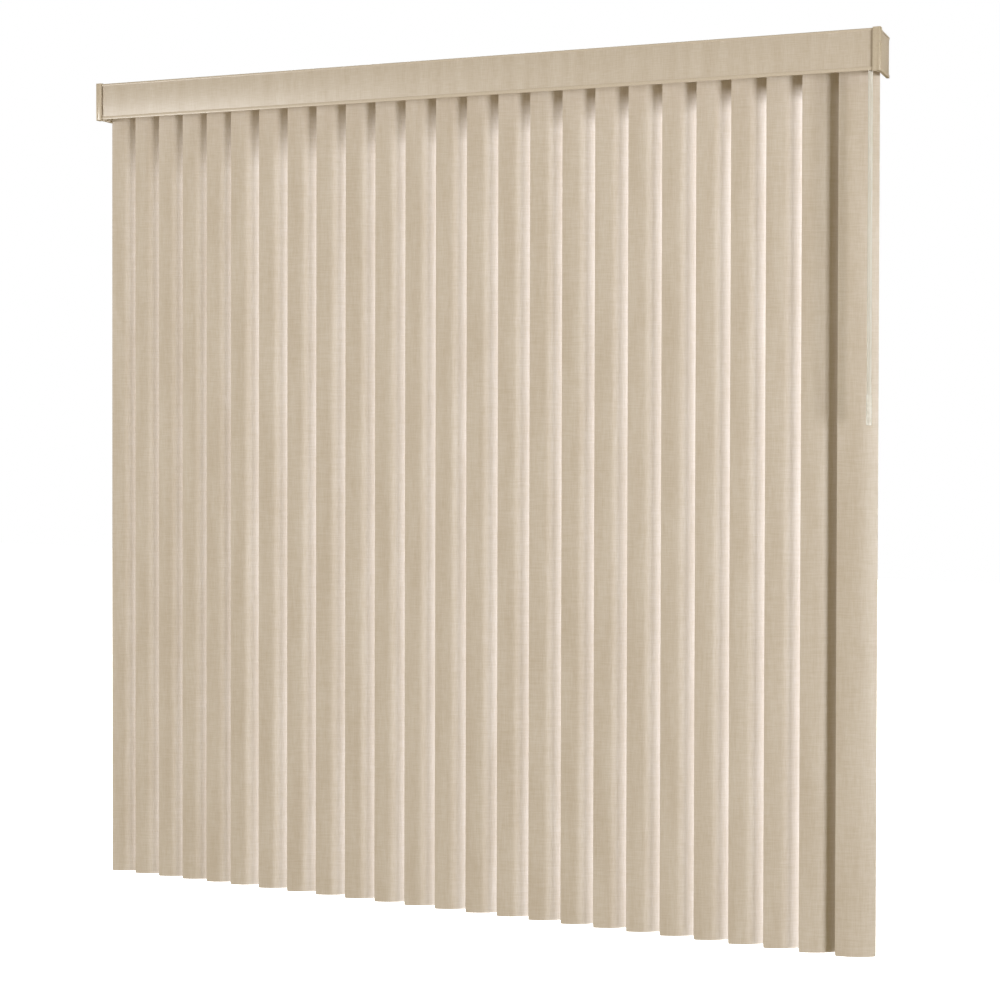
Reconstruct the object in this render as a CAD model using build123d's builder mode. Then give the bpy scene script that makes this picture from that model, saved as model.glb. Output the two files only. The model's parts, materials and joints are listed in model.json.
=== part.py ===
from build123d import *
from math import asin, cos, degrees, radians, sin
import os

# Vertical blind: curved vanes on a wheeled track, behind a boxed valance, worked by one wand.
# Millimetres. The origin is on the wall, in the middle of the bracket screws. X runs along the
# track, to the right as seen from the room. Y runs from the room to the wall, so the room is at
# minus Y. Z is up.

os.makedirs("parts", exist_ok=True)

# Valance, boxed by two returns
valance_length = 1981.0  # over the corner pieces
valance_height = 90.0
valance_reach = 120.0  # from the wall to the front of the lips
valance_rise = 8.0  # valance top over the headrail top
valance_skin = 1.2
top_lip = 5.5
bottom_lip = 7.5
back_lip = 4.0
insert_thickness = 0.9
insert_clearance = 0.15
return_to_wall = 2.0
butt_gap = 0.3  # between the front run and each return, inside the corner piece

# Corner pieces of the valance
corner_leg = 17.0
corner_wall = 1.4
corner_clearance = 0.25
corner_radius = 3.0
corner_bead = 6.5  # from the outer edge to the bead line
bead_width = 1.0
bead_depth = 0.5

# Headrail
rail_inset = 22.5  # from each end of the valance to the headrail's end
rail_width = 44.0
rail_height = 30.0
rail_wall = 1.4
rail_flange = 2.0
rail_slot = 20.0
curb_height = 1.5  # along each side of the slot
curb_width = 1.2
rail_to_wall = 50.0  # from the wall to the middle of the track
rail_over_screws = 15.0  # headrail top over the middle of the screws

# End caps
cap_plate = 3.0
cap_plug = 7.0
cap_wall = 2.0
cap_radius = 2.0
cap_clearance = 0.3

# Tilt rod
rod_radius = 3.2
rod_groove = 0.8
rod_grooves = 6
rod_clearance = 0.3
rod_behind_stem = 9.0  # towards the wall from the vane stems
rod_below_top = 16.5
rod_end_gap = 1.0

# Wall brackets
bracket_count = 4
bracket_inset = 128.0  # from each end of the headrail to the middle of its outer bracket
bracket_width = 38.0
bracket_sheet = 1.5
bracket_leg = 33.5
bracket_bend = 2.0
bracket_web = 9.0
bracket_web_width = 3.0
catch_width = 14.0
hook_clearance = 0.2
hook_side_clearance = 0.4
screw_rows = 15.0
screw_columns = 20.0
screw_slot = 10.0
screw_slot_width = 5.0

# Valance clips
clip_offset = 60.0  # from each bracket's middle, towards the middle of the blind
clip_width = 26.0
clip_sheet = 1.8
clip_toe = 1.3
clip_clearance = 0.1
clip_height_clearance = 0.3

# Vanes
vane_count = 25
vane_length = 1955.0
vane_chord = 88.9
vane_crown = 6.0
vane_thickness = 1.0
vane_corner = 3.0
vane_below_rail = 22.0
vane_angle = 25.0  # chord to track, left edge towards the room
lead_vane_angle = 19.0
end_vane_inset = 33.0  # from each end of the headrail to the end vane's stem
stack_end_gaps = 5  # not drawn right out
stack_end_shortfall = 10.0  # of each of these gaps
vane_slot = 14.0
vane_slot_height = 4.0
vane_slot_below_top = 15.0

# Vane stems
stem_radius = 3.0
stem_head_radius = 5.0
stem_head = 3.0
stem_clearance = 0.3
collar_radius = 4.8
collar_height = 2.0
hook_width = 12.0
hook_top_below_rail = 12.0
prong_thickness = 1.8
prong_width = 10.0
front_prong = 9.0  # past the vane's top edge
back_prong = 20.0
prong_clearance = 0.2
peg_width = 8.0
peg_height = 2.6

# Carriers
carrier_length = 13.0
carrier_side_gap = 1.2  # from each wheel's outer face to the headrail's wall
carrier_top_gap = 3.0
carrier_over_curb = 0.7
carrier_chamfer = 3.0
guide_side_gap = 1.5  # to each side of the slot
guide_length = 12.0
guide_drop = 2.0
head_cavity = 5.6  # top of the stem's cavity over the track's running face
wheel_radius = 5.4
wheel_width = 3.2
wheel_offset = 1.0
axle_radius = 1.6
wheel_clearance = 0.3

# Lead carrier and its wand arm
lead_length = 30.0
arm_below_rail = 2.0
arm_thickness = 7.0
arm_root_radius = 7.0
arm_root_x = 16.0  # from the lead vane's stem
arm_tip_radius = 6.5
wand_x = 31.5  # from the lead vane's stem
wand_to_front = 15.5  # from the front of the valance's lips
lug_thickness = 4.0
lug_width = 9.0
pivot_below_arm = 7.5
pin_radius = 1.5
pin_clearance = 0.3

# Wand hook and wand
ear_clearance = 0.3
ear_thickness = 2.4
socket_below_pivot = 5.5
socket_radius = 6.2
socket_length = 19.0
socket_roof = 4.0
wand_head = 3.4
wand_head_radius = 4.7
spigot_radius = 3.3
spigot_clearance = 0.3
wand_across_corners = 10.4
wand_edge = 0.6
wand_length = 785.0  # below the socket's roof, to the foot of the grip
grip_length = 66.0
grip_radius = 6.2
grip_end = 2.0
grip_shoulder = 0.7
grip_rings = 5
grip_ring = 0.5
grip_ring_pitch = 9.0

# Heights and depths that follow from these
rail_top = rail_over_screws
rail_bottom = rail_top - rail_height
track_face = rail_bottom + rail_wall
rail_y = -rail_to_wall
flange_half = rail_width / 2 + rail_flange
rail_length = valance_length - 2 * rail_inset
rail_end = rail_length / 2
bracket_spacing = (rail_length - 2 * bracket_inset) / (bracket_count - 1)
lead_vane_x = rail_end - end_vane_inset
vane_pitch = (2 * lead_vane_x + stack_end_gaps * stack_end_shortfall) / (vane_count - 1)
carrier_half = rail_width / 2 - rail_wall - carrier_side_gap - wheel_width - wheel_offset
valance_top = rail_top + valance_rise
valance_bottom = valance_top - valance_height
front_y = -valance_reach
insert_space = insert_thickness + 2 * insert_clearance
clip_space = clip_sheet + 2 * clip_clearance
channel_depth = 3 * valance_skin + insert_space + clip_space
end_x = valance_length / 2
rod_y = rail_y + rod_behind_stem
rod_z = rail_top - rod_below_top
vane_top = rail_bottom - vane_below_rail
wand_y = front_y + wand_to_front


def box(x_low, x_high, y_low, y_high, z_low, z_high, mode=Mode.ADD):
    """A block between six faces."""
    with Locations(((x_low + x_high) / 2, (y_low + y_high) / 2, (z_low + z_high) / 2)):
        Box(x_high - x_low, y_high - y_low, z_high - z_low, mode=mode)


def bar(u_low, u_high, v_low, v_high, mode=Mode.ADD):
    """A rectangle between four sides, for a section."""
    with Locations(((u_low + u_high) / 2, (v_low + v_high) / 2)):
        Rectangle(u_high - u_low, v_high - v_low, mode=mode)


def upright(x, y, z_low, z_high, radius, mode=Mode.ADD):
    """A round length with its axis along Z."""
    with Locations((x, y, (z_low + z_high) / 2)):
        Cylinder(radius, z_high - z_low, mode=mode)


def save(piece, name):
    """Label a finished piece and write it."""
    piece.label = name
    export_step(piece, f"parts/{name}.step")


# Headrail: an extruded channel, open below, with a flange along each top edge
with BuildPart() as headrail:
    with BuildSketch(Plane.YZ.offset(-rail_length / 2)):
        bar(rail_y - rail_width / 2, rail_y + rail_width / 2, rail_bottom, rail_top)
        bar(rail_y - flange_half, rail_y + flange_half, rail_top - rail_wall, rail_top)
        bar(
            rail_y - rail_width / 2 + rail_wall,
            rail_y + rail_width / 2 - rail_wall,
            track_face,
            rail_top - rail_wall,
            mode=Mode.SUBTRACT,
        )
        bar(rail_y - rail_slot / 2, rail_y + rail_slot / 2, rail_bottom, track_face, mode=Mode.SUBTRACT)
        for side in (-1, 1):
            curb_y = rail_y + side * (rail_slot + curb_width) / 2
            with Locations((curb_y, track_face + curb_height / 2)):
                Rectangle(curb_width, curb_height)
    extrude(amount=rail_length)
save(headrail.part, "headrail")

# End caps: a plate over each end of the headrail, and a hollow plug that bears the tilt rod
plug_half = rail_width / 2 - rail_wall - cap_clearance
plug_floor = track_face + curb_height + cap_clearance
plug_roof = rail_top - rail_wall - cap_clearance
with BuildPart() as end_caps:
    with BuildSketch(Plane.YZ.offset(rail_end)):
        bar(rail_y - flange_half, rail_y + flange_half, rail_bottom, rail_top)
    extrude(amount=cap_plate)
    fillet(end_caps.edges().filter_by(Axis.X), cap_radius)
    with BuildSketch(Plane.YZ.offset(rail_end - cap_plug)):
        bar(rail_y - plug_half, rail_y + plug_half, plug_floor, plug_roof)
        bar(
            rail_y - plug_half + cap_wall,
            rail_y + plug_half - cap_wall,
            plug_floor + cap_wall,
            plug_roof - cap_wall,
            mode=Mode.SUBTRACT,
        )
        with Locations((rod_y, rod_z)):
            Circle(rod_radius + rod_clearance + cap_wall)
    extrude(amount=cap_plug)
    with BuildSketch(Plane.YZ.offset(rail_end - cap_plug)):
        with Locations((rod_y, rod_z)):
            Circle(rod_radius + rod_clearance)
    extrude(amount=cap_plug, mode=Mode.SUBTRACT)
    mirror(about=Plane.YZ)
save(end_caps.part, "end_caps")

# Tilt rod: a grooved rod from cap to cap
rod_length = rail_length - 2 * rod_end_gap
with BuildPart() as tilt_rod:
    with BuildSketch(Plane.YZ.offset(-rod_length / 2)):
        with Locations((rod_y, rod_z)):
            Circle(rod_radius)
            with PolarLocations(rod_radius + rod_groove / 3, rod_grooves):
                Circle(rod_groove, mode=Mode.SUBTRACT)
    extrude(amount=rod_length)
save(tilt_rod.part, "tilt_rod")


def flange_hooks(sheet, toe, sides):
    """The two hooks that reach round the headrail's flanges, as part of a section."""
    hook_inner = flange_half + hook_clearance
    toe_top = rail_top - rail_wall - hook_clearance
    toe_end = rail_width / 2 + hook_side_clearance
    for side in sides:
        low, high = sorted((rail_y + side * hook_inner, rail_y + side * (hook_inner + sheet)))
        bar(low, high, toe_top - toe, rail_top + sheet)
        low, high = sorted((rail_y + side * toe_end, rail_y + side * (hook_inner + sheet)))
        bar(low, high, toe_top - toe, toe_top)


# Wall brackets: folded steel, screwed to the wall, hooked over both flanges of the headrail
bracket_xs = [bracket_spacing * (i - (bracket_count - 1) / 2) for i in range(bracket_count)]
bracket_front = rail_y - flange_half - hook_clearance - bracket_sheet
with BuildPart() as wall_brackets:
    for x in bracket_xs:
        with BuildSketch(Plane.YZ.offset(x - bracket_width / 2)):
            bar(bracket_front, 0, rail_top, rail_top + bracket_sheet)
            bar(-bracket_sheet, 0, rail_top + bracket_sheet - bracket_leg, rail_top + bracket_sheet)
            flange_hooks(bracket_sheet, bracket_sheet, (-1,))
        extrude(amount=bracket_width)
        with BuildSketch(Plane.YZ.offset(x - catch_width / 2)):
            flange_hooks(bracket_sheet, bracket_sheet, (1,))
        extrude(amount=catch_width)
        with BuildSketch(Plane.YZ.offset(x - bracket_web_width / 2)):
            with BuildLine():
                Polyline(
                    (-bracket_sheet, rail_top),
                    (-bracket_sheet - bracket_web, rail_top),
                    (-bracket_sheet, rail_top - bracket_web),
                    close=True,
                )
            make_face()
        extrude(amount=bracket_web_width)
        with BuildSketch(Plane.XZ):
            with Locations((x, 0)):
                with GridLocations(screw_columns, screw_rows, 2, 2):
                    SlotOverall(screw_slot, screw_slot_width)
        extrude(amount=bracket_sheet, mode=Mode.SUBTRACT)
    outer_bends = wall_brackets.edges().filter_by(Axis.X).group_by(Axis.Z)[-1].group_by(Axis.Y)[-1]
    fillet(outer_bends, bracket_bend)
save(wall_brackets.part, "wall_brackets")


def channel_section():
    """The valance extrusion: u from the front of the lips inwards, v up."""
    back_u = valance_skin + insert_space
    bar(0, channel_depth, valance_top - valance_skin, valance_top)
    bar(0, channel_depth, valance_bottom, valance_bottom + valance_skin)
    bar(back_u, back_u + valance_skin, valance_bottom, valance_top)
    bar(0, valance_skin, valance_top - top_lip, valance_top)
    bar(0, valance_skin, valance_bottom, valance_bottom + bottom_lip)
    bar(channel_depth - valance_skin, channel_depth, valance_top - back_lip, valance_top)
    bar(channel_depth - valance_skin, channel_depth, valance_bottom, valance_bottom + back_lip)


def insert_section():
    """The strip of vane material between the lips and the back of the channel."""
    low_u = valance_skin + insert_clearance
    margin = valance_skin + hook_clearance
    bar(low_u, low_u + insert_thickness, valance_bottom + margin, valance_top - margin)


# The front run lies inside both corner pieces, and the returns butt against its back
run_half = end_x - corner_wall - corner_clearance
return_front = front_y + channel_depth + butt_gap
return_length = -return_to_wall - return_front
up = Vector(0, 0, 1)
front_plane = Plane(origin=(-run_half, front_y, 0), x_dir=(0, 1, 0), z_dir=(1, 0, 0))
right_plane = Plane(origin=(run_half, return_front, 0), x_dir=(-1, 0, 0), z_dir=(0, 1, 0))
left_plane = Plane(origin=(-run_half, -return_to_wall, 0), x_dir=(1, 0, 0), z_dir=(0, -1, 0))
valance_runs = ((front_plane, 2 * run_half), (right_plane, return_length), (left_plane, return_length))

with BuildPart() as valance_rail:
    for plane, length in valance_runs:
        with BuildSketch(plane):
            channel_section()
        extrude(amount=length)
save(valance_rail.part, "valance_rail")

with BuildPart() as valance_inserts:
    for plane, length in valance_runs:
        with BuildSketch(plane):
            insert_section()
        extrude(amount=length)
save(valance_inserts.part, "valance_inserts")

# Corner pieces: a moulded sleeve over each corner of the valance
corner_front = front_y - corner_clearance - corner_wall
sleeve_depth = channel_depth + 2 * corner_clearance + 2 * corner_wall
sleeve_top = valance_top + corner_clearance + corner_wall
sleeve_bottom = valance_bottom - corner_clearance - corner_wall
with BuildPart() as valance_corners:
    with BuildSketch(Plane.XY.offset(sleeve_bottom)):
        bar(end_x - corner_leg, end_x, corner_front, corner_front + sleeve_depth)
        bar(end_x - sleeve_depth, end_x, corner_front, corner_front + corner_leg)
    extrude(amount=sleeve_top - sleeve_bottom)
    outer_edge = valance_corners.edges().filter_by(Axis.Z).group_by(Axis.X)[-1].sort_by(Axis.Y)[0]
    fillet(outer_edge, corner_radius)
    with BuildSketch(Plane.XY.offset(sleeve_bottom + corner_wall)):
        with Locations((end_x - corner_wall, corner_front + corner_wall)):
            inner_depth = sleeve_depth - 2 * corner_wall
            Rectangle(corner_leg, inner_depth, align=(Align.MAX, Align.MIN))
            Rectangle(inner_depth, corner_leg, align=(Align.MAX, Align.MIN))
    extrude(amount=sleeve_top - sleeve_bottom - 2 * corner_wall, mode=Mode.SUBTRACT)
    with BuildSketch(Plane.XY.offset(sleeve_bottom)):
        with Locations((end_x - corner_bead, corner_front), (end_x, corner_front + corner_bead)):
            Rectangle(bead_width, 2 * bead_depth)
            Rectangle(2 * bead_depth, bead_width)
    extrude(amount=sleeve_top - sleeve_bottom, mode=Mode.SUBTRACT)
    mirror(about=Plane.YZ)
save(valance_corners.part, "valance_corners")

# Valance clips: snapped over the headrail, with a plate that the back of the valance snaps onto
plate_front = front_y + 2 * valance_skin + insert_space + clip_clearance
plate_margin = valance_skin + clip_height_clearance
with BuildPart() as valance_clips:
    for x in bracket_xs:
        clip_x = x - clip_offset if x > 0 else x + clip_offset
        with BuildSketch(Plane.YZ.offset(clip_x - clip_width / 2)):
            bar(plate_front, rail_y + flange_half + hook_clearance, rail_top, rail_top + clip_sheet)
            flange_hooks(clip_sheet, clip_toe, (-1, 1))
            bar(
                plate_front,
                plate_front + clip_sheet,
                valance_bottom + plate_margin,
                valance_top - plate_margin,
            )
        extrude(amount=clip_width)
save(valance_clips.part, "valance_clips")


def make_carrier(length, wheel_xs):
    """A carrier with its stem hole at X 0: body, guide through the slot, and wheels."""
    half = carrier_half
    floor = track_face + curb_height + carrier_over_curb
    roof = rail_top - rail_wall - carrier_top_gap
    guide = rail_slot / 2 - guide_side_gap
    guide_foot = rail_bottom - guide_drop
    end = guide_length / 2
    cavity_top = track_face + head_cavity
    cavity_low = cavity_top - stem_head - 2 * stem_clearance
    axle_z = track_face + wheel_clearance + wheel_radius
    reach = half + wheel_offset
    with BuildPart() as carrier:
        with BuildSketch(Plane.YZ.offset(-carrier_length / 2)):
            with BuildLine():
                Polyline(
                    (rail_y - half, floor),
                    (rail_y + half, floor),
                    (rail_y + half, roof - carrier_chamfer),
                    (rail_y + half - carrier_chamfer, roof),
                    (rail_y - half + carrier_chamfer, roof),
                    (rail_y - half, roof - carrier_chamfer),
                    close=True,
                )
            make_face()
            with Locations((rod_y, rod_z)):
                Circle(rod_radius + rod_clearance, mode=Mode.SUBTRACT)
        extrude(amount=length)
        box(-end, end, rail_y - guide, rail_y + guide, guide_foot, floor)
        upright(0, rail_y, cavity_low, cavity_top, stem_head_radius + stem_clearance, Mode.SUBTRACT)
        upright(0, rail_y, guide_foot, cavity_low, stem_radius + stem_clearance, Mode.SUBTRACT)
        for x in wheel_xs:
            for side in (-1, 1):
                with Locations((x, rail_y + side * (reach + wheel_width / 2), axle_z)):
                    Cylinder(wheel_radius, wheel_width, rotation=(90, 0, 0))
                with Locations((x, rail_y + side * (half + wheel_offset / 2), axle_z)):
                    Cylinder(axle_radius, wheel_offset, rotation=(90, 0, 0))
    return carrier.part


def make_vane(angle):
    """A curved vane at X 0, and the stem that it hangs from by the slot in its head."""
    slot_z = vane_top - vane_slot_below_top
    along = Vector(cos(radians(angle)), sin(radians(angle)), 0)
    across = Vector(-sin(radians(angle)), cos(radians(angle)), 0)
    pivot = Plane(origin=(0, rail_y, 0), x_dir=along, z_dir=up)
    face = Plane(origin=(0, rail_y, slot_z), x_dir=along, z_dir=across)
    half_chord = vane_chord / 2
    radius = (half_chord**2 + vane_crown**2) / (2 * vane_crown)
    half_arc = degrees(asin(half_chord / radius))
    skin = vane_thickness / 2
    stem_top = track_face + head_cavity - stem_clearance
    hook_top = rail_bottom - hook_top_below_rail
    hook_foot = vane_top + prong_clearance
    collar_top = rail_bottom - guide_drop - stem_clearance
    gap = skin + prong_clearance
    with BuildPart() as vane:
        # the vane, with its slot
        with BuildSketch(pivot.offset(vane_top - vane_length)):
            with BuildLine():
                outer = CenterArc((0, radius), radius + skin, 270 - half_arc, 2 * half_arc)
                inner = CenterArc((0, radius), radius - skin, 270 - half_arc, 2 * half_arc)
                Line(outer @ 0, inner @ 0)
                Line(outer @ 1, inner @ 1)
            make_face()
        extrude(amount=vane_length)
        fillet(vane.edges().filter_by(lambda e: e.length < 2 * vane_thickness), vane_corner)
        with BuildSketch(face):
            SlotOverall(vane_slot, vane_slot_height)
        extrude(amount=vane_thickness, both=True, mode=Mode.SUBTRACT)
        # the stem, from its head in the carrier down to the flat hook
        upright(0, rail_y, stem_top - stem_head, stem_top, stem_head_radius)
        upright(0, rail_y, hook_foot, stem_top, stem_radius)
        upright(0, rail_y, collar_top - collar_height, collar_top, collar_radius)
        with BuildSketch(pivot.offset(hook_foot)):
            Rectangle(hook_width, 2 * (gap + prong_thickness))
        with BuildSketch(pivot.offset(hook_top)):
            Rectangle(2 * stem_radius, 2 * stem_radius)
        loft()
        for side, reach in ((-1, front_prong), (1, back_prong)):
            with BuildSketch(pivot.offset(vane_top - reach)):
                with Locations((0, side * (gap + prong_thickness / 2))):
                    Rectangle(prong_width, prong_thickness)
            extrude(amount=hook_foot - vane_top + reach)
        with BuildSketch(face.offset(-gap)):
            with Locations((0, -(vane_slot_height - peg_height) / 2 + prong_clearance)):
                Rectangle(peg_width, peg_height)
        extrude(amount=2 * gap)
    return vane.part


# Places along the track, from the stack end to the lead vane
vane_xs = [lead_vane_x]
for gap_number in range(vane_count - 1, 0, -1):
    step = vane_pitch - stack_end_shortfall if gap_number <= stack_end_gaps else vane_pitch
    vane_xs.insert(0, vane_xs[0] - step)

# Carriers and vanes, all alike but the lead pair
carrier = make_carrier(carrier_length, [0])
vane = make_vane(vane_angle)
for number, x in enumerate(vane_xs[:-1], start=1):
    save(Pos(x, 0, 0) * carrier, f"carrier_{number:02d}")
    save(Pos(x, 0, 0) * vane, f"vane_{number:02d}")
save(Pos(lead_vane_x, 0, 0) * make_vane(lead_vane_angle), f"vane_{vane_count:02d}")

# Lead carrier: a longer carrier, with an arm through the slot that brings the wand to the room side
lead_wheels = [wheel_radius - carrier_length / 2, lead_length - carrier_length / 2 - wheel_radius]
arm_top = rail_bottom - arm_below_rail
arm_bottom = arm_top - arm_thickness
arm_root = (lead_vane_x + arm_root_x, rail_y)
arm_tip = (lead_vane_x + wand_x, wand_y)
pivot_z = arm_bottom - pivot_below_arm
lead_body = Pos(lead_vane_x, 0, 0) * make_carrier(lead_length, lead_wheels)
with BuildPart() as lead_carrier:
    add(lead_body)
    upright(*arm_root, arm_bottom, track_face + curb_height + carrier_over_curb, arm_root_radius)
    with BuildSketch(Plane.XY.offset(arm_bottom)) as arm_plan:
        with Locations(arm_root):
            Circle(arm_root_radius)
        with Locations(arm_tip):
            Circle(arm_tip_radius)
        make_hull()
    extrude(amount=arm_thickness)
    lug_plane = Plane.XZ.offset(-wand_y - lug_thickness / 2)
    with BuildSketch(lug_plane):
        with Locations((arm_tip[0], pivot_z)):
            Circle(lug_width / 2)
        bar(arm_tip[0] - lug_width / 2, arm_tip[0] + lug_width / 2, pivot_z, arm_bottom)
        with Locations((arm_tip[0], pivot_z)):
            Circle(pin_radius + pin_clearance, mode=Mode.SUBTRACT)
    extrude(amount=lug_thickness)
save(lead_carrier.part, "lead_carrier")

# Wand hook: a fork pinned to the lug, with the socket that the wand turns in
socket_top = pivot_z - socket_below_pivot
socket_foot = socket_top - socket_length
head_top = socket_top - socket_roof
head_foot = head_top - wand_head - 2 * spigot_clearance
ear_inner = lug_thickness / 2 + ear_clearance
wand_axis = (arm_tip[0], wand_y)
with BuildPart() as wand_hook:
    upright(*wand_axis, socket_foot, socket_top, socket_radius)
    fillet(wand_hook.edges().group_by(Axis.Z)[0], spigot_clearance + wand_edge)
    for ear_y in (wand_y - ear_inner - ear_thickness, wand_y + ear_inner):
        with BuildSketch(Plane.XZ.offset(-ear_y - ear_thickness)):
            with Locations((arm_tip[0], pivot_z)):
                Circle(lug_width / 2)
            bar(arm_tip[0] - lug_width / 2, arm_tip[0] + lug_width / 2, socket_top - pin_radius, pivot_z)
        extrude(amount=ear_thickness)
    with Locations((arm_tip[0], wand_y, pivot_z)):
        Cylinder(pin_radius, 2 * (ear_inner + ear_thickness), rotation=(90, 0, 0))
    upright(*wand_axis, head_foot, head_top, wand_head_radius + spigot_clearance, Mode.SUBTRACT)
    upright(*wand_axis, socket_foot, head_foot, spigot_radius + spigot_clearance, Mode.SUBTRACT)
save(wand_hook.part, "wand_hook")

# Wand: a six-sided clear rod with a headed spigot above and a ringed grip below
shaft_top = socket_foot - spigot_clearance
wand_foot = head_top - wand_length
grip_top = wand_foot + grip_length
with BuildPart() as wand:
    with BuildSketch(Plane.XY.offset(grip_top)):
        with Locations(wand_axis):
            RegularPolygon(wand_across_corners / 2, 6)
    extrude(amount=shaft_top - grip_top)
    fillet(wand.edges().filter_by(Axis.Z), wand_edge)
    head_low = head_top - spigot_clearance - wand_head
    upright(*wand_axis, head_low, head_top - spigot_clearance, wand_head_radius)
    upright(*wand_axis, shaft_top, head_low, spigot_radius)
    with BuildSketch(Plane(origin=(arm_tip[0], wand_y, 0), x_dir=(1, 0, 0), z_dir=(0, -1, 0))):
        bar(0, grip_radius, wand_foot, grip_top)
        ring_zs = [wand_foot + grip_length / 2 + (i - (grip_rings - 1) / 2) * grip_ring_pitch
                   for i in range(grip_rings)]
        with Locations([(grip_radius, z) for z in ring_zs]):
            Rectangle(2 * grip_ring, 2 * grip_ring, mode=Mode.SUBTRACT)
    revolve(axis=Axis((arm_tip[0], wand_y, 0), (0, 0, 1)))
    grip_rims = wand.edges().filter_by(GeomType.CIRCLE).filter_by(lambda e: e.radius > grip_radius - 0.01)
    fillet(grip_rims.sort_by(Axis.Z)[0], grip_end)
    grip_rims = wand.edges().filter_by(GeomType.CIRCLE).filter_by(lambda e: e.radius > grip_radius - 0.01)
    fillet(grip_rims.sort_by(Axis.Z)[-1], grip_shoulder)
save(wand.part, "wand")
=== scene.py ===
import json
import math

import bpy
from mathutils import Matrix, Vector

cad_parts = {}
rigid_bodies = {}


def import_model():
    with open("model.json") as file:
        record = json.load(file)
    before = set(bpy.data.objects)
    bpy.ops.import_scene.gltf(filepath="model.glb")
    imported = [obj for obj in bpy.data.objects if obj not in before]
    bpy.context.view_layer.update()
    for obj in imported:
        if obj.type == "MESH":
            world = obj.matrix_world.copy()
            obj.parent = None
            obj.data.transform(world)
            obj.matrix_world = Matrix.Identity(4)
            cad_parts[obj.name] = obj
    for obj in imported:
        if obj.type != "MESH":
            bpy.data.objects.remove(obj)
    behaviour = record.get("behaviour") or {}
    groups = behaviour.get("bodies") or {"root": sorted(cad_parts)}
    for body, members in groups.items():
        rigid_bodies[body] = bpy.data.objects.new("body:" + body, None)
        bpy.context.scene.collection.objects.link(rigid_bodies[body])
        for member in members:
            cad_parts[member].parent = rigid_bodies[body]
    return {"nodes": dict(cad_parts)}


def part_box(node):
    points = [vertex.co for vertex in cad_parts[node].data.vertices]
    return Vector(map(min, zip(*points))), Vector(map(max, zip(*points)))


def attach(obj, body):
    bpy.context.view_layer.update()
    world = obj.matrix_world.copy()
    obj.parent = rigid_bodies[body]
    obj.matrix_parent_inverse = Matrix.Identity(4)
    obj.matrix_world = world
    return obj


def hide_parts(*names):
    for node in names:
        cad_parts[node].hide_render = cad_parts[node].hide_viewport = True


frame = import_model()
nodes = frame["nodes"]
scene = bpy.context.scene
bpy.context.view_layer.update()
print("frame loaded:", len(nodes), "nodes")

# Camera: fitted to the valance's and the vanes' edges in the photograph
camera = {
    "place": (1.68416, -3.9941, -0.75696),
    "pitch": -0.688,
    "roll": -0.135,
    "yaw": 22.01,
    "focalPixels": 1804.8,
    "middleAcross": 500.0,
    "middleDown": 414.1,
    "pixels": 1000.0,
    "sensor": 36.0,
}
cameraData = bpy.data.cameras.new("camera")
cameraData.sensor_width = camera["sensor"]
cameraData.lens = camera["focalPixels"] / camera["pixels"] * camera["sensor"]
cameraData.shift_x = 0.5 - camera["middleAcross"] / camera["pixels"]
cameraData.shift_y = camera["middleDown"] / camera["pixels"] - 0.5
cameraData.clip_end = 60
cameraObject = bpy.data.objects.new("camera", cameraData)
cameraObject.location = camera["place"]
cameraObject.rotation_euler = [math.radians(a) for a in (90 + camera["pitch"], camera["roll"], camera["yaw"])]
scene.collection.objects.link(cameraObject)
scene.camera = cameraObject
print("camera placed")


# Materials
def toLinear(hexColour):
    values = []
    for start in (0, 2, 4):
        part = int(hexColour[start:start + 2], 16) / 255
        values.append(part / 12.92 if part <= 0.04045 else ((part + 0.055) / 1.055) ** 2.4)
    return (*values, 1.0)


def addNode(tree, kind, settings=None, links=None):
    node = tree.nodes.new(kind)
    for name, value in (settings or {}).items():
        if isinstance(name, int) or name in node.inputs:
            node.inputs[name].default_value = value
        else:
            setattr(node, name, value)
    for name, source in (links or {}).items():
        tree.links.new(source, node.inputs[name])
    return node


def newMaterial(name, surface):
    material = bpy.data.materials.new(name)
    material.use_nodes = True
    tree = material.node_tree
    tree.nodes.clear()
    shader = addNode(tree, "ShaderNodeBsdfPrincipled", surface)
    addNode(tree, "ShaderNodeOutputMaterial", {}, {"Surface": shader.outputs[0]})
    material.diffuse_color = surface["Base Color"]
    return material, tree, shader


def stretchedNoise(tree, across, along, turn=0.0, detail=2.0, upright=True):
    # noise drawn out along one direction; across and along are the sizes of a fleck in metres
    place = addNode(tree, "ShaderNodeTexCoord")
    turned = addNode(tree, "ShaderNodeMapping", {"Rotation": (0, 0, math.radians(-turn))},
                     {"Vector": place.outputs["Object"]})
    scale = (1 / across, 1 / across, 1 / along) if upright else (1 / along, 1 / along, 1 / across)
    sized = addNode(tree, "ShaderNodeMapping", {"Scale": scale}, {"Vector": turned.outputs[0]})
    return addNode(tree, "ShaderNodeTexNoise", {"Scale": 1.0, "Detail": detail},
                   {"Vector": sized.outputs[0]}).outputs["Fac"]


def mixColours(tree, factor, low, high, spread=(0.35, 0.65)):
    ramp = addNode(tree, "ShaderNodeMapRange", {"From Min": spread[0], "From Max": spread[1]},
                   {"Value": factor})
    return addNode(tree, "ShaderNodeMix", {"data_type": "RGBA", 6: toLinear(low), 7: toLinear(high)},
                   {0: ramp.outputs[0]}).outputs[2]


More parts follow.
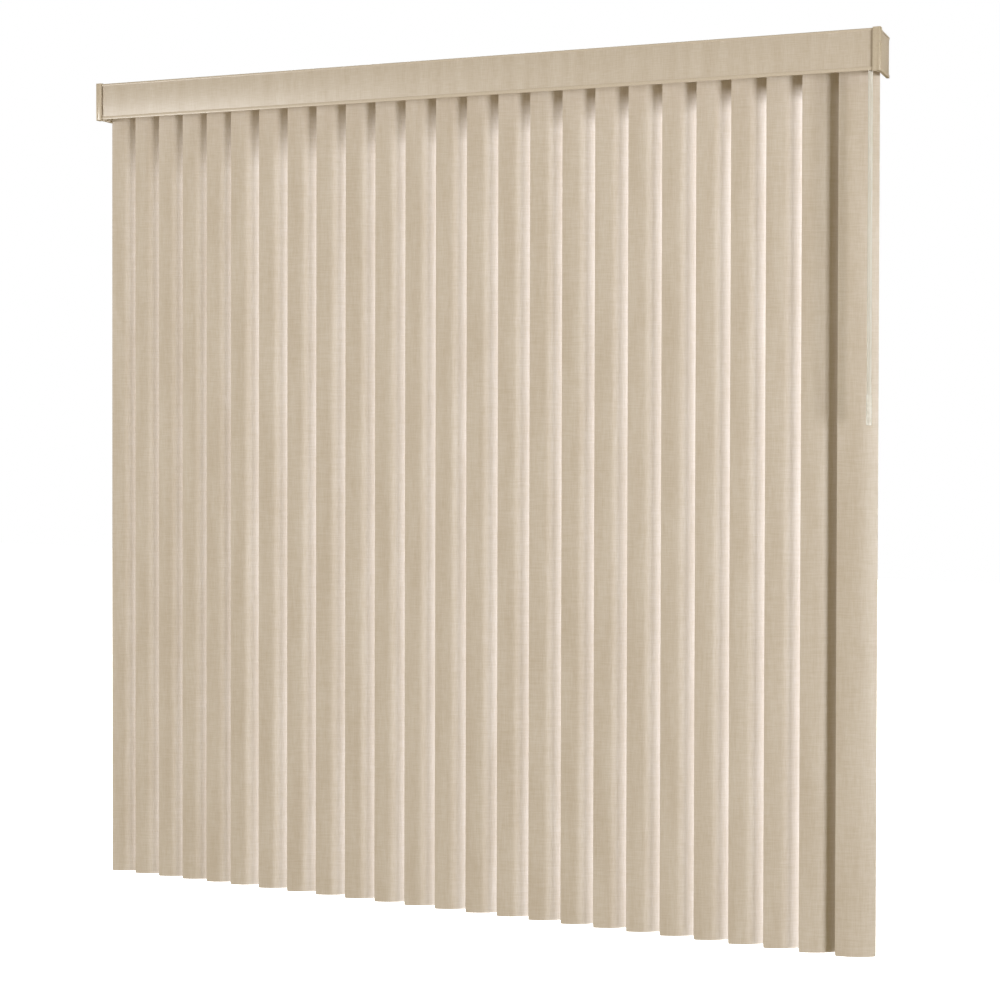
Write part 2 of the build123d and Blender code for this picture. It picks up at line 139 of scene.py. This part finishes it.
def linenVinyl(name, turn, look):
    # PVC vinyl, calendered with a faux-linen emboss: the eye sees fine slubs both ways in a satin skin
    material, tree, shader = newMaterial(name, {
        "Base Color": toLinear(look["colour"]), "Roughness": look["roughness"], "IOR": 1.52,
        "Specular IOR Level": look["specular"], "Sheen Weight": look["sheen"], "Sheen Roughness": 0.5,
        "Sheen Tint": toLinear(look["sheenTint"]),
    })
    warp = stretchedNoise(tree, look["threadAcross"], look["slubLength"], turn)
    weft = stretchedNoise(tree, look["threadAcross"], look["slubLength"], turn, upright=False)
    cloud = stretchedNoise(tree, look["cloudAcross"], look["cloudLength"], turn)
    threads = addNode(tree, "ShaderNodeMath", {"operation": "ADD"}, {0: warp, 1: weft})
    halved = addNode(tree, "ShaderNodeMath", {"operation": "MULTIPLY", 1: 0.5}, {0: threads.outputs[0]})
    # painted shade and light: the linen's thread colour is darker in the emboss's hollows and lighter on its
    # crests, following the same height as the bump
    weaveShadeAndLight = mixColours(tree, halved.outputs[0], look["hollow"], look["crest"])
    tint = mixColours(tree, cloud, look["cloudLow"], look["cloudHigh"])
    colour = addNode(tree, "ShaderNodeMix", {"data_type": "RGBA", "blend_type": "MULTIPLY", 0: 1.0},
                     {6: weaveShadeAndLight, 7: tint})
    emboss = addNode(tree, "ShaderNodeBump", {"Strength": look["embossStrength"], "Distance": look["embossDepth"]},
                     {"Height": halved.outputs[0]})
    tree.links.new(colour.outputs[2], shader.inputs["Base Color"])
    tree.links.new(emboss.outputs[0], shader.inputs["Normal"])
    return material


def plainPlastic(name, look):
    # moulded or extruded plastic: a satin skin with faint flow marks and a slightly uneven gloss
    material, tree, shader = newMaterial(name, {
        "Base Color": toLinear(look["colour"]), "Roughness": look["roughness"], "IOR": look.get("ior", 1.5),
        "Specular IOR Level": look.get("specular", 0.5), "Transmission Weight": look.get("clear", 0.0),
        "Metallic": look.get("metallic", 0.0),
    })
    grain = stretchedNoise(tree, look["grain"], look["grain"] * look.get("grainStretch", 1.0), 0.0, 3.0)
    colour = mixColours(tree, grain, look["dark"], look["light"])
    gloss = addNode(tree, "ShaderNodeMapRange", {
        "From Min": 0.3, "From Max": 0.7, "To Min": look["roughness"] - 0.04, "To Max": look["roughness"] + 0.05,
    }, {"Value": grain})
    bump = addNode(tree, "ShaderNodeBump", {"Strength": look["bump"], "Distance": 0.0002}, {"Height": grain})
    tree.links.new(colour, shader.inputs["Base Color"])
    tree.links.new(gloss.outputs[0], shader.inputs["Roughness"])
    tree.links.new(bump.outputs[0], shader.inputs["Normal"])
    return material


linen = {
    # the two thread colours are painted shade in the emboss's hollows and painted light on its crests
    "colour": "DBD0C4", "hollow": "D5C9BA", "crest": "E1D7CE", "cloudLow": "F7F5F2", "cloudHigh": "FFFFFF",
    "roughness": 0.45, "specular": 0.7, "sheen": 0.1, "sheenTint": "FFF8EC",
    "threadAcross": 0.0022,  # 0.8 mm threads, drawn coarser so that they show at this distance
    "slubLength": 0.03, "cloudAcross": 0.03, "cloudLength": 0.25,
    "embossStrength": 0.5, "embossDepth": 0.0003,
}
vaneVinyl = linenVinyl("vane vinyl", 25, linen)
insertVinyl = linenVinyl("valance vinyl", 0, linen)
extrudedPlastic = plainPlastic("extruded PVC", {
    "colour": "D9CDBE", "dark": "D6CABA", "light": "DCD0C2", "roughness": 0.34, "grain": 0.004, "bump": 0.05})
mouldedPlastic = plainPlastic("moulded ABS", {
    "colour": "D5C8B7", "dark": "D3C6B4", "light": "D7CBBA", "roughness": 0.3, "grain": 0.003, "bump": 0.05})
railEnamel = plainPlastic("baked enamel", {
    "colour": "EDE8DE", "dark": "EAE5DA", "light": "F0EBE2", "roughness": 0.3, "grain": 0.002, "bump": 0.1})
capPlastic = plainPlastic("moulded polypropylene", {
    "colour": "EFEBE2", "dark": "ECE8DF", "light": "F1EEE6", "roughness": 0.4, "grain": 0.002, "bump": 0.08})
carrierPlastic = plainPlastic("moulded acetal", {
    "colour": "F1EFE9", "dark": "EEEBE4", "light": "F4F2ED", "roughness": 0.35, "grain": 0.002, "bump": 0.05})
clipPlastic = plainPlastic("clear polycarbonate", {
    "colour": "E6EAEA", "dark": "E2E7E7", "light": "EAEEEE", "roughness": 0.14, "grain": 0.003, "bump": 0.03,
    "clear": 0.85, "ior": 1.58})
zincSteel = plainPlastic("zinc-plated steel", {
    "colour": "C9CCCF", "dark": "B9BDC1", "light": "D6D9DC", "roughness": 0.3, "grain": 0.0015, "bump": 0.05,
    "metallic": 1.0})
rodAluminium = plainPlastic("drawn aluminium", {
    "colour": "D5D6D8", "dark": "CDCED1", "light": "DDDEE0", "roughness": 0.28, "grain": 0.0008, "bump": 0.05,
    "metallic": 1.0})
wandPlastic = plainPlastic("milky acrylic", {
    "colour": "FBF9F5", "dark": "F8F6F1", "light": "FDFCFA", "roughness": 0.14, "grain": 0.004,
    "grainStretch": 20.0, "bump": 0.03, "clear": 0.12, "specular": 0.8, "ior": 1.49})
print("materials made")


# Modelling helpers
mergeDistance = 0.00001  # corners closer than this are one corner
near = 0.0001  # how far a corner may lie from the place it is picked by
flatAngle = math.radians(1)
edgeAngle = math.radians(40)


def pickOnly(piece):
    if bpy.context.object and bpy.context.object.mode != "OBJECT":
        bpy.ops.object.mode_set(mode="OBJECT")
    bpy.ops.object.select_all(action="DESELECT")
    piece.select_set(True)
    bpy.context.view_layer.objects.active = piece


def selectCorners(piece, test):
    # selects the vertices that pass the test, and leaves the piece in edit mode
    pickOnly(piece)
    bpy.ops.object.mode_set(mode="EDIT")
    bpy.ops.mesh.select_mode(type="VERT")
    bpy.ops.mesh.select_all(action="DESELECT")
    bpy.ops.object.mode_set(mode="OBJECT")
    for corner in piece.data.vertices:
        corner.select = test(corner.co)
    bpy.ops.object.mode_set(mode="EDIT")


def applyModifier(piece, kind, settings):
    pickOnly(piece)
    modifier = piece.modifiers.new(kind.lower(), kind)
    for name, value in settings.items():
        setattr(modifier, name, value)
    bpy.ops.object.modifier_apply(modifier=modifier.name)


def softened(nodeName, pieceName, radius, keep=None, shape=None):
    # a node's shape with its hard edges rounded; keep picks the vertices of one of its solids,
    # and shape changes the mesh before its edges are rounded
    piece = bpy.data.objects.new(pieceName, nodes[nodeName].data.copy())
    scene.collection.objects.link(piece)
    piece.data.name = pieceName
    pickOnly(piece)
    bpy.ops.mesh.customdata_custom_splitnormals_clear()
    bpy.ops.object.mode_set(mode="EDIT")
    bpy.ops.mesh.select_all(action="SELECT")
    bpy.ops.mesh.remove_doubles(threshold=mergeDistance)
    if keep:
        selectCorners(piece, keep)
        bpy.ops.mesh.select_linked()
        bpy.ops.mesh.select_all(action="INVERT")
        bpy.ops.mesh.delete(type="VERT")
        bpy.ops.mesh.select_all(action="SELECT")
    bpy.ops.mesh.dissolve_limited(angle_limit=flatAngle)
    bpy.ops.object.mode_set(mode="OBJECT")
    if shape:
        shape(piece)
    applyModifier(piece, "BEVEL", {
        "width": radius, "segments": 2, "limit_method": "ANGLE", "angle_limit": edgeAngle,
        "use_clamp_overlap": True})
    pickOnly(piece)
    bpy.ops.object.shade_smooth_by_angle(angle=edgeAngle)
    return piece


def dress(piece, material, body, *replaced):
    piece.data.materials.clear()
    piece.data.materials.append(material)
    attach(piece, body)
    if replaced:
        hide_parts(*replaced)
    return piece


def copyOf(model, name, move=(0, 0, 0)):
    piece = bpy.data.objects.new(name, model.data.copy())
    piece.data.name = name
    piece.data.transform(Matrix.Translation(move))
    scene.collection.objects.link(piece)
    return piece


# Vanes: one curved sheet, spun about the middle of its arc, then copied along the track
vane = {
    "pivotY": -0.05, "top": -0.037, "length": 1.955, "chord": 0.0889, "crown": 0.006, "thickness": 0.001,
    "corner": 0.003, "cornerSteps": 4, "arcSteps": 20, "rim": 0.0002,
    "slotWidth": 0.014, "slotHeight": 0.004, "slotBelowTop": 0.015, "cutterDepth": 0.01,
    "rimAngle": 50.0, "smoothAngle": 35.0, "seed": 0.001, "stemEdge": 0.0003, "stemLift": 0.001,
    "turn": 25.0, "leadTurn": 19.0, "count": 25,
}


def makeVaneSheet():
    half = vane["chord"] / 2
    radius = (half ** 2 + vane["crown"] ** 2) / (2 * vane["crown"])
    halfArc = math.asin(half / radius)
    middle = vane["top"] - vane["length"] / 2
    startY = vane["pivotY"] + vane["crown"]
    bpy.ops.object.select_all(action="DESELECT")
    bpy.ops.mesh.primitive_plane_add(size=1, location=(-half, startY, middle), rotation=(math.pi / 2, 0, 0))
    sheet = bpy.context.object
    sheet.name = "vaneSheet"
    sheet.scale = (vane["seed"], vane["length"], 1)  # only its edge is kept, to be spun
    bpy.ops.object.transform_apply(location=True, rotation=True, scale=True)
    selectCorners(sheet, lambda co: co.x > -half)
    bpy.ops.mesh.delete(type="VERT")
    selectCorners(sheet, lambda co: True)
    bpy.ops.transform.translate(value=(vane["seed"] / 2, 0, 0))
    bpy.ops.mesh.spin(steps=vane["arcSteps"], angle=-2 * halfArc,
                      center=(0, vane["pivotY"] + radius, middle), axis=(0, 0, 1))
    bpy.ops.mesh.select_all(action="SELECT")
    bpy.ops.mesh.remove_doubles(threshold=mergeDistance)
    bpy.ops.mesh.normals_make_consistent(inside=False)
    bpy.ops.object.mode_set(mode="OBJECT")
    tipX = max(corner.co.x for corner in sheet.data.vertices)
    topZ = max(corner.co.z for corner in sheet.data.vertices)
    footZ = min(corner.co.z for corner in sheet.data.vertices)
    selectCorners(sheet, lambda co: abs(abs(co.x) - tipX) < near
                  and min(abs(co.z - topZ), abs(co.z - footZ)) < near)
    bpy.ops.mesh.bevel(offset=vane["corner"], segments=vane["cornerSteps"], affect="VERTICES")
    bpy.ops.object.mode_set(mode="OBJECT")
    applyModifier(sheet, "SOLIDIFY", {"thickness": vane["thickness"], "offset": 0.0})
    return sheet


def cutSlot(sheet):
    # the slot near the head that the stem's peg holds
    slotZ = vane["top"] - vane["slotBelowTop"]
    bpy.ops.object.select_all(action="DESELECT")
    bpy.ops.mesh.primitive_cube_add(size=1, location=(0, vane["pivotY"], slotZ))
    cutter = bpy.context.object
    cutter.scale = (vane["slotWidth"], vane["cutterDepth"], vane["slotHeight"])
    bpy.ops.object.transform_apply(location=True, rotation=True, scale=True)
    applyModifier(cutter, "BEVEL", {"width": vane["slotHeight"] * 0.49, "segments": 5, "limit_method": "ANGLE",
                                    "affect": "EDGES"})
    applyModifier(sheet, "BOOLEAN", {"operation": "DIFFERENCE", "solver": "EXACT", "object": cutter})
    bpy.data.objects.remove(cutter)


def turned(model, name, x, angle):
    # a copy of the model, turned about its own pivot and then moved along the track
    piece = bpy.data.objects.new(name, model.data.copy())
    piece.data.name = name
    pivot = Vector((0, vane["pivotY"], 0))
    piece.data.transform(Matrix.Translation(Vector((x, 0, 0)) + pivot)
                         @ Matrix.Rotation(math.radians(angle), 4, "Z") @ Matrix.Translation(-pivot))
    scene.collection.objects.link(piece)
    return piece


def middleX(node):
    # the middle of a node's box; a turned, curved vane reaches unevenly to both sides of its pivot,
    # so its sheet stands up to 2.5 mm to the left of the pivot that its stem is on
    low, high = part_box(node)
    return (low.x + high.x) / 2


vaneSheet = makeVaneSheet()
cutSlot(vaneSheet)
applyModifier(vaneSheet, "BEVEL", {"width": vane["rim"], "segments": 1, "limit_method": "ANGLE",
                                   "angle_limit": math.radians(vane["rimAngle"]),
                                   "use_clamp_overlap": True})
pickOnly(vaneSheet)
bpy.ops.object.shade_smooth_by_angle(angle=math.radians(vane["smoothAngle"]))

aboveVane = vane["top"] + vane["stemLift"]
stemModel = softened("vane_13", "stemModel", vane["stemEdge"], keep=lambda co: co.z > aboveVane)
stemX = middleX("vane_13")
for number in range(1, vane["count"] + 1):
    node = f"vane_{number:02d}"
    last = number == vane["count"]
    x = middleX(node)
    sheet = turned(vaneSheet, f"vane_sheet_{number:02d}", x, vane["leadTurn"] if last else vane["turn"])
    dress(sheet, vaneVinyl, node, node)
    if last:
        stem = softened(node, f"vane_stem_{number:02d}", vane["stemEdge"], keep=lambda co: co.z > aboveVane)
    else:
        stem = copyOf(stemModel, f"vane_stem_{number:02d}", (x - stemX, 0, 0))
    dress(stem, carrierPlastic, node, node)
for model in (vaneSheet, stemModel):
    bpy.data.objects.remove(model)
print("vanes made:", vane["count"])

# Valance, track and fittings: the frame's solids, with the edges that moulding and rolling leave
crest = {"radius": 0.0022, "steps": 5}


def roundCrest(piece):
    # the outer edge along the top of the valance, which the extrusion turns in a wider curve
    low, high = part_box("valance_rail")
    selectCorners(piece, lambda co: abs(co.z - high.z) < near and (
        abs(co.y - low.y) < near or abs(abs(co.x) - high.x) < near))
    bpy.ops.mesh.bevel(offset=crest["radius"], segments=crest["steps"], affect="EDGES")
    bpy.ops.object.mode_set(mode="OBJECT")


# edge radius in metres, material and slot
fittings = {
    "valance_rail": (0.0003, extrudedPlastic, "valance_plastic"),
    "valance_inserts": (0.0002, insertVinyl, "vane_vinyl"),
    "valance_corners": (0.0005, mouldedPlastic, "valance_plastic"),
    "headrail": (0.0003, railEnamel, "rail_enamel"),
    "end_caps": (0.0005, capPlastic, "cap_plastic"),
    "wall_brackets": (0.0003, zincSteel, "bracket_steel"),
    "valance_clips": (0.0003, clipPlastic, "clip_plastic"),
    "tilt_rod": (0.0001, rodAluminium, "rod_aluminium"),
    "lead_carrier": (0.0004, carrierPlastic, "carrier_plastic"),
    "wand_hook": (0.0004, wandPlastic, "wand_plastic"),
    "wand": (0.0003, wandPlastic, "wand_plastic"),
}
bodyOf = {"tilt_rod": "tilt_rod", "lead_carrier": "lead_carrier", "wand_hook": "wand_hook", "wand": "wand"}
for node, (edge, material, slot) in fittings.items():
    piece = softened(node, node + "_finished", edge, shape=roundCrest if node == "valance_rail" else None)
    dress(piece, material, bodyOf.get(node, "headrail"), node)
carrierEdge = 0.0003
carrierModel = softened("carrier_13", "carrierModel", carrierEdge)
carrierX = middleX("carrier_13")
for number in range(1, vane["count"]):
    node = f"carrier_{number:02d}"
    piece = copyOf(carrierModel, node + "_finished", (middleX(node) - carrierX, 0, 0))
    dress(piece, carrierPlastic, "headrail" if number == 1 else node, node)
bpy.data.objects.remove(carrierModel)
print("track and valance finished")

# Studio: a white room with a low key from the right, a low fill from the left, a side lamp behind the
# right, which grazes the right edge of each vane through the gaps, and a rear lamp for views from behind
studio = {
    "floorZ": -2.4, "floorSize": 24.0, "floorColour": "F4F3F1", "floorRoughness": 0.9, "floorGlow": 0.95,
    "ambient": 0.27, "ambientColour": "FFEBB4", "backdrop": "FFFFFF",
}
# azimuth and elevation in degrees, distance and size in metres, power in watts, height of the aim in
# metres, spread in degrees, colour
lamps = {
    "key": (63.0, -10.0, 12.0, 3.8, 203.0, 0.5, 90.0, "FFFFFF"),
    "fill": (-50.0, -10.0, 12.0, 3.0, 156.0, 0.5, 90.0, "FFFFFF"),
    "side": (112.0, 6.0, 12.0, 0.8, 7000.0, -1.0, 180.0, "F0F5FF"),
    "rear": (205.0, 30.0, 8.0, 4.0, 200.0, -1.0, 180.0, "FFFFFF"),
}
# cards in the side lamp's beam: one keeps it off the last two vanes, the wand and the valance's end, the
# other off the inside of the valance; across is measured square to the beam, along is towards the lamp
cards = {
    "flagEnd": {"along": 1.2, "across": (-0.49, -0.337), "up": (-2.2, 0.1)},
    "flagHead": {"along": 1.25, "across": (-0.55, 0.6), "up": (-0.075, 0.45)},
}

world = bpy.data.worlds.new("white room")
scene.world = world
world.use_nodes = True
worldTree = world.node_tree
worldTree.nodes.clear()
# the camera sees a white room, and the object is lit by a dimmer, warmer one
path = addNode(worldTree, "ShaderNodeLightPath")
soft = addNode(worldTree, "ShaderNodeBackground", {
    "Color": toLinear(studio["ambientColour"]), "Strength": studio["ambient"]})
white = addNode(worldTree, "ShaderNodeBackground", {"Color": toLinear(studio["backdrop"]), "Strength": 1.0})
seen = addNode(worldTree, "ShaderNodeMixShader", {}, {
    0: path.outputs["Is Camera Ray"], 1: soft.outputs[0], 2: white.outputs[0]})
addNode(worldTree, "ShaderNodeOutputWorld", {}, {"Surface": seen.outputs[0]})

bpy.ops.object.select_all(action="DESELECT")
bpy.ops.mesh.primitive_plane_add(size=studio["floorSize"], location=(0, 0, studio["floorZ"]))
floor = bpy.context.object
floor.name = "floor"
bpy.ops.object.transform_apply(location=True, rotation=True, scale=True)
floorMaterial = bpy.data.materials.new("white floor")
floorMaterial.use_nodes = True
floorShader = floorMaterial.node_tree.nodes["Principled BSDF"]
floorShader.inputs["Base Color"].default_value = toLinear(studio["floorColour"])
floorShader.inputs["Roughness"].default_value = studio["floorRoughness"]
floorShader.inputs["Emission Color"].default_value = toLinear(studio["backdrop"])
floorShader.inputs["Emission Strength"].default_value = studio["floorGlow"]
floor.data.materials.append(floorMaterial)
floor.visible_diffuse = False
floor.visible_glossy = False
floor.visible_shadow = False


def areaLight(name, place, target, size, power, spread, colour):
    light = bpy.data.lights.new(name, "AREA")
    light.shape = "RECTANGLE"
    light.size = light.size_y = size
    light.energy = power
    light.spread = math.radians(spread)
    light.color = toLinear(colour)[:3]
    lamp = bpy.data.objects.new(name, light)
    lamp.location = place
    lamp.rotation_euler = (Vector(target) - Vector(place)).to_track_quat("-Z", "Y").to_euler()
    lamp.visible_camera = False
    scene.collection.objects.link(lamp)


for name, (azimuth, elevation, distance, size, power, aimZ, spread, colour) in lamps.items():
    azimuth, elevation = math.radians(azimuth), math.radians(elevation)
    place = (distance * math.sin(azimuth) * math.cos(elevation),
             -distance * math.cos(azimuth) * math.cos(elevation), aimZ + distance * math.sin(elevation))
    areaLight(name, place, (0, 0, aimZ), size, power, spread, colour)

beam = math.radians(lamps["side"][0])
towards = Vector((math.sin(beam), -math.cos(beam), 0))
square = Vector((-towards.y, towards.x, 0))
for name, shape in cards.items():
    middle = towards * shape["along"] + square * sum(shape["across"]) / 2
    middle.z = sum(shape["up"]) / 2
    bpy.ops.object.select_all(action="DESELECT")
    bpy.ops.mesh.primitive_plane_add(size=1, location=middle,
                                     rotation=(math.pi / 2, 0, math.atan2(square.y, square.x)))
    card = bpy.context.object
    card.name = name
    card.scale = (shape["across"][1] - shape["across"][0], shape["up"][1] - shape["up"][0], 1)
    bpy.ops.object.transform_apply(location=True, rotation=True, scale=True)
    card.data.materials.append(floorMaterial)
    card.visible_camera = False
    card.visible_diffuse = False
    card.visible_glossy = False
    card.visible_transmission = False
scene.view_settings.view_transform = "Standard"
print("studio lit")
